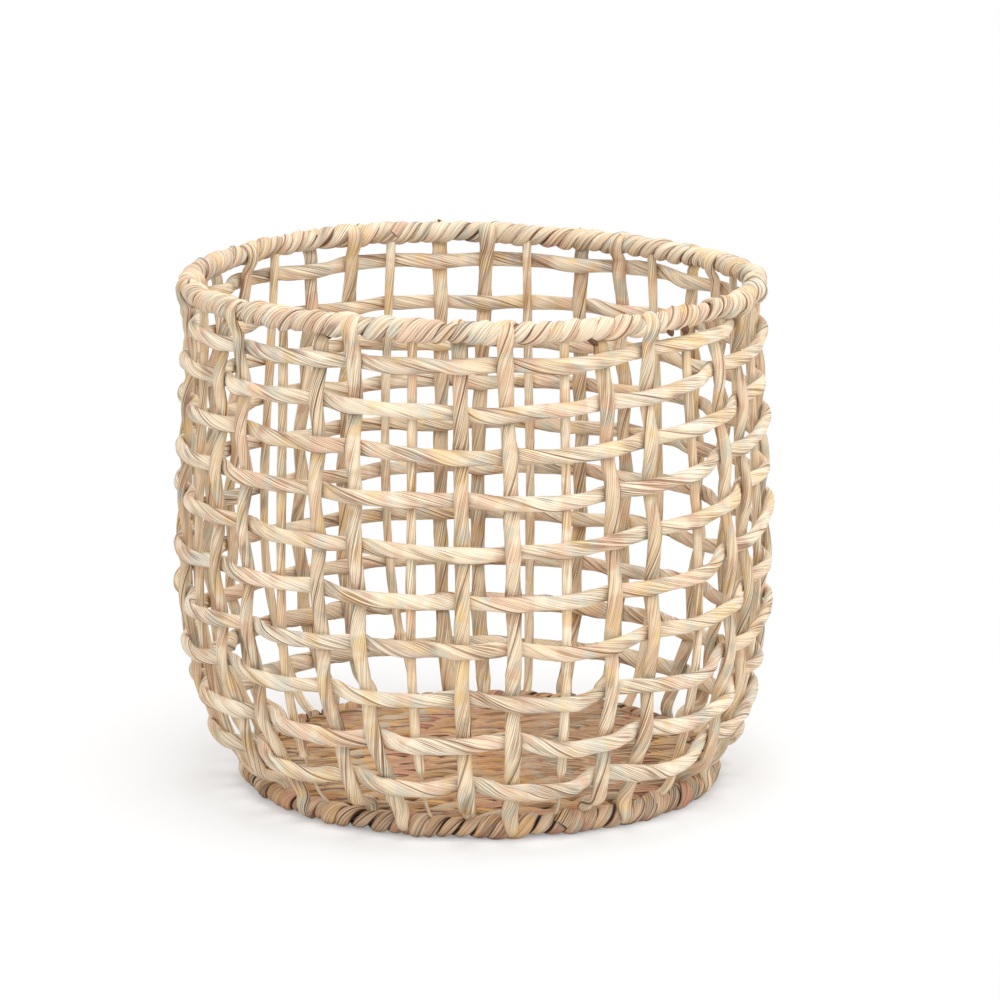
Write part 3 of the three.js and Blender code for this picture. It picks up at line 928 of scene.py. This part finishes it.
def lay_weavers():
    for row in range(ROW_COUNT):
        name = f"weaver_{row + 1:02d}"
        lay_strand(
            "twisted_" + name, name, "weaver_rush", weave(row), WEAVER_WIDTH, WEAVER_THICKNESS,
            twist=float(rng.uniform(*WEAVER_TWIST)),
        )


# Stakes at the foot and the rim: degrees round the hoop, and millimetres off the border or the binding
FIRST_TUCK = [(98, -5.0), (92, -1.0), (84, 2.0), (74, 5.0)]
SECOND_TUCK = [(20, 1.6), (45, 2.6)]
SECOND_END_TURNS = (-40, 0)
SECOND_END_OFF = -1.5
SECOND_BEND_SHARE = 0.6
SECOND_BEND_TURN = 10
SECOND_BEND_OFF = 0.6
RIM_FOLD = [(-25, 0.6), (5, 0.2), (35, -0.3), (65, -0.8), (95, -1.6), (125, -3.2)]

# Stakes on the wall
BELOW_ROWS = {"first": 10.0, "second": 7.0}
ABOVE_ROWS = 5.0
BELOW_WALL = 8
ABOVE_WALL = 9
WALL_POINTS = 72
STAKE_STEP = 2.6
STAKE_TAPER = (6, 4, 0.55, 0.5)
STAKE_TWIST = (85, 140)
LOW_SWELLING = 0.16
LOW_SWELLING_HEIGHT = 70
STAKE_PRESS_REACH = 6.0
FOLD_PRESS = 3.4
FOLD_PRESS_DROP = 9
FOLD_PRESS_REACH = 8


def over_hoop(angle, hoop_radius, hoop_height, surface, steps):
    """Points round a hoop's cross-section, from pairs of turn and distance off the surface round it."""
    return [hoop_spot(angle, hoop_radius, hoop_height, turn, surface + off) for turn, off in steps]


def stand(kind, bay):
    """A stake, from its tuck in the foot border up the wall to its fold over the rim."""
    foot_angle = float(vertical_angle(kind, bay, FOOT_HOOP_HEIGHT))
    head_angle = float(vertical_angle(kind, bay, RIM_HEIGHT))
    meetings = [meeting(kind, bay, row)[1] for row in range(ROW_COUNT)]
    sides = [stake_side(kind, row) for row in range(ROW_COUNT)]
    tuck = FIRST_TUCK
    fold = [(180 - turn, off) for turn, off in RIM_FOLD]
    if kind == "second":
        end = rng.uniform(*SECOND_END_TURNS)
        bend = SECOND_BEND_SHARE * end + SECOND_BEND_TURN
        tuck = [(end, SECOND_END_OFF), (bend, SECOND_BEND_OFF)] + SECOND_TUCK
        fold = RIM_FOLD
    foot = over_hoop(foot_angle, FOOT_HOOP_RADIUS, FOOT_HOOP_HEIGHT + BORDER_LIFT, BORDER_RADIUS, tuck)
    low = meetings[0] - BELOW_ROWS[kind]
    high = meetings[-1] + ABOVE_ROWS
    heights = np.linspace(low, high, WALL_POINTS)
    knots = [low - BELOW_WALL] + meetings + [high + ABOVE_WALL]
    offsets = STAKE_OFFSET * swing(heights, knots, [sides[0]] + sides + [sides[-1]])
    wall = wall_spot(vertical_angle(kind, bay, heights), heights, offsets)
    head = over_hoop(head_angle, MOUTH_RADIUS, rim_height(head_angle), RIM_RADIUS, fold)
    line = smooth_line(np.concatenate([foot, wall, head]), STAKE_STEP)
    height = line[:, 2]
    swelling = 1 + LOW_SWELLING * np.clip(1 - height / LOW_SWELLING_HEIGHT, 0, 1)
    fullness = tapered(len(line), *STAKE_TAPER) * swelling
    folded = np.clip((height - (RIM_HEIGHT - FOLD_PRESS_DROP)) / FOLD_PRESS_REACH, 0, 1)
    press = np.maximum(nearness(height, meetings, STAKE_PRESS_REACH), FOLD_PRESS * folded)
    return Run(line, -sideways(angle_of(line)), fullness, press)


# Uprights whose straw ends above the foot, and lengths of uprights that are bound or knotted
REED_ENDS = {0: 36, 6: 33, 10: 41, 11: 39}
REED_END_SHARE = 0.36
REED_END_REACH = 3.2
REED_BINDINGS = {6: (36, 44, 1.5), 10: (41, 55, 1.1)}
BINDING_STEP = 3.4
BINDING_RIPPLE = 0.14
REED_TOP_DROP = 2.0
REED_POINTS = 160
REED_FOOT_BEND = 5.0
REED_BEND_HEIGHT = 24
REED_BEND_REACH = 16
REED_TWIST = (110, 180)


def reed(bay):
    """A thin straight upright, from the foot border to the rim binding."""
    heights = np.linspace(BASE_HEIGHT, RIM_HEIGHT - REED_TOP_DROP, REED_POINTS)
    angles = vertical_angle("upright", bay, heights)
    bend = np.clip((REED_BEND_HEIGHT - heights) / REED_BEND_REACH, 0, 1) ** 2
    offsets = UPRIGHT_OFFSET - REED_FOOT_BEND * bend
    fullness = np.ones(len(heights))
    if bay in REED_ENDS:
        full = np.sqrt(np.clip((heights - REED_ENDS[bay]) / REED_END_REACH, 0, 1))
        fullness = REED_END_SHARE + (1 - REED_END_SHARE) * full
    if bay in REED_BINDINGS:
        low, high, swell = REED_BINDINGS[bay]
        ripple = swell * (1 + BINDING_RIPPLE * np.sin(2 * np.pi * heights / BINDING_STEP))
        fullness = np.where((heights > low) & (heights < high), ripple, fullness)
    return Run(wall_spot(angles, heights, offsets), -sideways(angles), fullness)


def lay_verticals():
    for bay in range(BAY_COUNT):
        name = f"upright_{bay + 1:02d}"
        lay_strand(
            "straw_" + name, name, "upright_rush", [reed(bay)], UPRIGHT_WIDTH, UPRIGHT_THICKNESS,
            twist=float(rng.uniform(*REED_TWIST)), sides=14, edge=0.12, seam=0.03, lumps=0.1, lump_length=40,
        )
        for kind in ("first", "second"):
            name = f"{kind}_stake_{bay + 1:02d}"
            lay_strand(
                "twisted_" + name, name, "stake_rush", [stand(kind, bay)], STAKE_WIDTH, STAKE_THICKNESS,
                twist=float(rng.uniform(*STAKE_TWIST)),
            )


# Hoops and what is wound round them
HOOP_POINTS = 181
ROPE_STRANDS = 2
BULGE_TURN = 20
UNEVENNESS = 0.4
UNEVEN_REACH = 0.3
UNEVEN_FULLNESS = 0.6


def lay_wire(name, node, radius, height, width):
    angles = np.linspace(0, 360, HOOP_POINTS)
    run = Run(spot(angles, radius, height(angles)), np.tile([0.0, 0.0, 1.0], (len(angles), 1)))
    lay_strand(
        name, node, "frame_wire", [run], width, width, twist=52.0, sides=10, edge=0.0, seam=0.0, oval=0.0,
        lumps=0.0,
    )


def wound(hoop_radius, hoop_height, distance, turns, start_angle, start_turn, in_turn, bulge):
    """The line of a strand wound round a hoop, rising towards +X at the front, uneven and fuller outside."""
    share = np.linspace(0, 1, turns * in_turn + 1)
    angles = start_angle + 360 * share
    swell = np.interp(share * turns * 2, np.arange(2 * turns + 1), rng.uniform(-1, 1, 2 * turns + 1))
    swell = UNEVENNESS * swell
    turn = start_turn + 360 * turns * share
    reach = distance * (1 + UNEVEN_REACH * swell)
    points = hoop_spot(angles, hoop_radius, hoop_height(angles), turn, reach)
    fullness = (1 + UNEVEN_FULLNESS * swell) * (1 + bulge * np.cos(np.radians(turn - BULGE_TURN)))
    return Run(points, -sideways(angles), fullness)


def stretched(run, waves):
    """A wound strand, with the even places of its lobes turned into the uneven ones of hand work."""
    angles = angle_of(run.points)
    shift = wavy(waves, angles)
    cos, sin = np.cos(np.radians(shift)), np.sin(np.radians(shift))
    x, y = run.points[:, 0], run.points[:, 1]
    points = np.stack([cos * x - sin * y, sin * x + cos * y, run.points[:, 2]], axis=1)
    return Run(points, -sideways(angles + shift), run.fullness)


# Loose ends at the rim: angle, first and last turn round the hoop, degrees aside, fullness and stain
RIM_STUBS = (
    (39.5, -30, -75, 2.2, 0.55, 0.9),
    (43.5, -35, -80, 2.6, 0.6, 0.9),
    (-59.5, 200, 255, 1.6, 0.7, 0.8),
    (-76.0, 40, 75, -1.5, 0.3, 0.5),
    (186.5, 70, 110, 1.2, 0.25, 0.0),
    (22.0, -40, -85, 2.4, 0.5, 0.5),
    (-31.0, 215, 262, 2.0, 0.6, 0.4),
)
STUB_POINTS = 9
STUB_TAPER = (1, 5, 1.0, 0.3)
STUB_START_DEPTH = 2.5
STUB_RISE = 4.5

# How unevenly the turns of the binding and the border are spaced: waves round the basket, in degrees
BINDING_WAVE_COUNTS = (5, 9, 14, 23)
BINDING_WAVE_SIZES = (0.25, 0.6)
BORDER_WAVE_COUNTS = (4, 7, 11, 17)
BORDER_WAVE_SIZES = (0.5, 1.1)


def stub(angle, start_turn, end_turn, aside, full, stain):
    """A short loose end that stands off the rim."""
    share = np.linspace(0, 1, STUB_POINTS)
    angles = angle + aside * share
    turns = start_turn + (end_turn - start_turn) * share
    reach = RIM_RADIUS - STUB_START_DEPTH + STUB_RISE * share
    points = hoop_spot(angles, MOUTH_RADIUS, rim_height(angles), turns, reach)
    return Run(points, -sideways(angles), full * tapered(STUB_POINTS, *STUB_TAPER), None, stain * share)


def lay_rim():
    lay_wire("rim_wire", "rim_hoop", MOUTH_RADIUS, rim_height, RIM_WIRE_WIDTH)
    waves = hand_waves(BINDING_WAVE_COUNTS, BINDING_WAVE_SIZES)
    runs = []
    for index in range(ROPE_STRANDS):
        run = wound(
            MOUTH_RADIUS, rim_height, RIM_RADIUS - BINDING_THICKNESS / 2, BINDING_LOBES // ROPE_STRANDS,
            FIRST_UPRIGHT_ANGLE + 180, 360 * index / ROPE_STRANDS, in_turn=16, bulge=0.1,
        )
        runs.append(stretched(run, waves))
    runs += [stub(*place) for place in RIM_STUBS]
    lay_strand(
        "wound_rim_binding", "rim_binding", "rim_rush", runs, BINDING_WIDTH, BINDING_THICKNESS, twist=70.0,
        sides=18, seam=0.08, lumps=0.36, lump_length=12,
    )


def lay_foot():
    lay_wire("foot_wire", "foot_hoop", FOOT_HOOP_RADIUS, level(FOOT_HOOP_HEIGHT), FOOT_WIRE_WIDTH)
    waves = hand_waves(BORDER_WAVE_COUNTS, BORDER_WAVE_SIZES)
    for index in range(ROPE_STRANDS):
        name = f"foot_strand_{index + 1:02d}"
        run = wound(
            FOOT_HOOP_RADIUS, level(FOOT_HOOP_HEIGHT + BORDER_LIFT),
            BORDER_RADIUS - FOOT_STRAND_THICKNESS / 2, BORDER_LOBES // ROPE_STRANDS,
            FIRST_UPRIGHT_ANGLE, 360 * index / ROPE_STRANDS, in_turn=24, bulge=0.12,
        )
        lay_strand(
            "twisted_" + name, name, "foot_rush", [stretched(run, waves)], FOOT_STRAND_WIDTH,
            FOOT_STRAND_THICKNESS, twist=75.0, edge=0.16, seam=0.08, lumps=0.3, lump_length=13,
        )


# Spokes under the base
SPOKE_SPACING = 7.6
SPOKE_HEIGHT = 3.6
SPOKE_RADII = (126, 90, 60, 32)
SPOKE_REACH = SPOKE_RADII[0]
SPOKE_STEP = 3.0
CROSS_REACH = 12
CROSS_LIFT = 0.9
RIB_ANGLE = BAY_ANGLE / 2
RIB_START = 26
RIB_POINTS = 34
RIB_TURN_START = 18
RIB_TURN_REACH = 16

# Mat of twined pairs on the spokes
MAT_RADIUS = 128
MAT_ROWS = 17
MAT_PITCH = 15.0
MAT_HEIGHT = 9.2
MAT_BEND_SPACING = 18
MOST_BENDS = 40
MAT_SLACK = rng.uniform(-1.0, 1.0, (MAT_ROWS, MOST_BENDS))
TWINE_STEP = 2
TWINE_SPREAD = 2.6
TWINE_LIFT = 1.3
TWINE_STITCH = 23.0
TWINE_TAPER = (4, 4, 0.6, 0.6)


def spoke_angles(upper, lane):
    """The angles of a spoke's two arms, and of its middle."""
    turn = FIRST_UPRIGHT_ANGLE + (90 if upper else 0)
    return turn + lane * BAY_ANGLE, turn + 180 - lane * BAY_ANGLE, turn


def spoke(upper, lane):
    """A strand under the base, from border to border, that crosses three others at the centre."""
    near, far, turn = spoke_angles(upper, lane)
    height = SPOKE_HEIGHT + (CROSS_LIFT if upper else -CROSS_LIFT)
    across = sideways(turn)
    back = spot(turn + 180, 1.0, 0.0)
    aside = lane * SPOKE_SPACING * across + [0, 0, height]
    points = [spot(near, radius, SPOKE_HEIGHT) for radius in SPOKE_RADII]
    points += [aside + along * back for along in (-CROSS_REACH, CROSS_REACH)]
    points += [spot(far, radius, SPOKE_HEIGHT) for radius in reversed(SPOKE_RADII)]
    line = smooth_line(points, SPOKE_STEP)
    return Run(line, np.tile(across, (len(line), 1)))


def rib(arm_angle):
    """A shorter strand set in beside an arm of a spoke."""
    radius = np.linspace(RIB_START, SPOKE_REACH, RIB_POINTS)
    angles = arm_angle + RIB_ANGLE * np.clip((radius - RIB_TURN_START) / RIB_TURN_REACH, 0, 1)
    return Run(spot(angles, radius, SPOKE_HEIGHT), sideways(angles))


def twine(index, row):
    """A row of one of the two strands that cross over each other, stitch by stitch, from border to border."""
    sign = 1 if index == 0 else -1
    depth = (row - (MAT_ROWS - 1) / 2) * MAT_PITCH
    half = math.sqrt(MAT_RADIUS**2 - depth**2)
    along = np.linspace(-half, half, int(2 * half / TWINE_STEP))
    bends = np.linspace(-half, half, int(2 * half / MAT_BEND_SPACING))
    slack = np.interp(along, bends, MAT_SLACK[row][:len(bends)])
    wave = np.pi * (along / TWINE_STITCH + MAT_SLACK[row][0] + 0.5 * (row % 2))
    points = np.stack([
        along,
        depth + sign * TWINE_SPREAD * np.sin(wave) + slack,
        MAT_HEIGHT + sign * TWINE_LIFT * np.cos(wave),
    ], axis=1)
    return Run(points, np.tile([0.0, 1.0, 0.0], (len(points), 1)), tapered(len(points), *TWINE_TAPER))


def lay_base():
    for lane in (-1, 0, 1):
        for upper in (False, True):
            name = f"{'upper' if upper else 'lower'}_spoke_{lane + 2:02d}"
            near, far, _ = spoke_angles(upper, lane)
            runs = [spoke(upper, lane), rib(near), rib(far)]
            lay_strand(
                "flat_" + name, name, "base_rush", runs, SPOKE_WIDTH, SPOKE_THICKNESS, twist=90.0, sides=12
            )
    for index in range(2):
        name = f"base_twine_{index + 1:02d}"
        lay_strand(
            "twisted_" + name, name, "base_rush", [twine(index, row) for row in range(MAT_ROWS)], TWINE_WIDTH,
            TWINE_THICKNESS, twist=180.0, sides=16, lumps=0.4, lump_length=15,
        )


# Studio: metres and watts
WHITE = (1.0, 1.0, 1.0, 1.0)
FLOOR_REACH = 12
FLOOR_GREY = (0.71, 0.71, 0.71, 1.0)
LEAST_WHITE = 0.3
SHADE_REACH = (0.2, 0.5)
LAMP_AIM = Vector((0, 0, 0.15))
LAMPS = (
    ("key", (-0.1, -2.2, 2.2), 2.6, 39.0),
    ("fill", (2.0, -0.9, 1.5), 2.2, 15.0),
    ("top", (0.2, 0.4, 2.6), 2.0, 30.0),
)


def floor_finish():
    """White to the eye but for the shade close to the basket."""
    material, net = blank_material("white_floor")
    path = net.add("ShaderNodeLightPath")
    mirrored = net.math("MAXIMUM", path["Is Glossy Ray"], path["Is Transmission Ray"])
    seen = net.math("MAXIMUM", path["Is Camera Ray"], mirrored)
    place = net.add("ShaderNodeTexCoord")["Object"]
    away = net.add("ShaderNodeVectorMath", {"operation": "LENGTH"}, {0: place})["Value"]
    matte = net.add("ShaderNodeBsdfDiffuse", None, {"Color": FLOOR_GREY})["BSDF"]
    white = net.add("ShaderNodeEmission", None, {"Color": WHITE, "Strength": 1.0})["Emission"]
    share = seen * (LEAST_WHITE + (1 - LEAST_WHITE) * net.smooth(away, *SHADE_REACH))
    both = net.add("ShaderNodeMixShader", None, {0: share, 1: matte, 2: white})[0]
    net.add("ShaderNodeOutputMaterial", None, {"Surface": both})
    return material


def set_studio():
    mesh = bpy.data.meshes.new("floor")
    corners = [(x * FLOOR_REACH, y * FLOOR_REACH, 0) for x, y in ((-1, -1), (1, -1), (1, 1), (-1, 1))]
    mesh.from_pydata(corners, [], [(0, 1, 2, 3)])
    floor = bpy.data.objects.new("floor", mesh)
    bpy.context.scene.collection.objects.link(floor)
    mesh.materials.append(floor_finish())
    world = bpy.data.worlds.new("studio")
    bpy.context.scene.world = world
    world.use_nodes = True
    world.node_tree.nodes.clear()
    net = Net(world.node_tree)
    sky = net.add("ShaderNodeBackground", None, {"Color": WHITE, "Strength": 1.0})
    net.add("ShaderNodeOutputWorld", None, {"Surface": sky["Background"]})
    for name, place, size, power in LAMPS:
        lamp = bpy.data.objects.new(name, bpy.data.lights.new(name, "AREA"))
        bpy.context.scene.collection.objects.link(lamp)
        lamp.data.size = size
        lamp.data.energy = power
        lamp.location = place
        lamp.rotation_euler = (LAMP_AIM - Vector(place)).to_track_quat("-Z", "Y").to_euler()
    bpy.context.scene.view_settings.view_transform = "Standard"


set_camera()
set_studio()
lay_weavers()
lay_verticals()
lay_rim()
lay_foot()
lay_base()
finish_strands()
